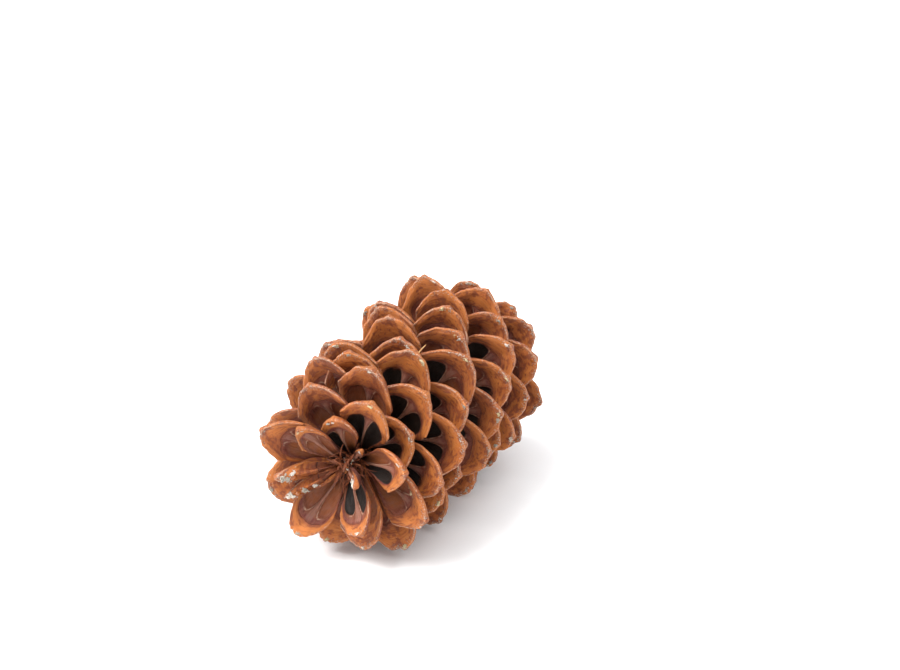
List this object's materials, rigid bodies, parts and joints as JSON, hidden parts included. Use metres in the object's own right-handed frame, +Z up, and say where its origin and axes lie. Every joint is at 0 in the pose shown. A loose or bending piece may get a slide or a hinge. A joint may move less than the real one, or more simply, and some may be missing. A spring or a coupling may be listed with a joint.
{
  "type": "sugar pine cone",
  "caption": "Open sugar pine cone lying on its side, with long spoon-shaped woody scales in a spiral round a slim axis and a stub of stalk.",
  "frame": {"origin": "on the surface that the cone lies on, below the middle of its box", "axes": "+X from the stalk towards the cone's tip, +Z up"},
  "size_m": [0.2552, 0.1168, 0.1162],
  "materials": {
    "cone_scales": "dry woody scales, orange-brown at the tips, mauve and dark brown inside, satin, with crusts of pale resin",
    "stalk_bark": "rough grey-brown bark"
  },
  "bodies": {
    "root": {"cone": "cone_scales", "stalk": "stalk_bark"}
  },
  "joints": []
}
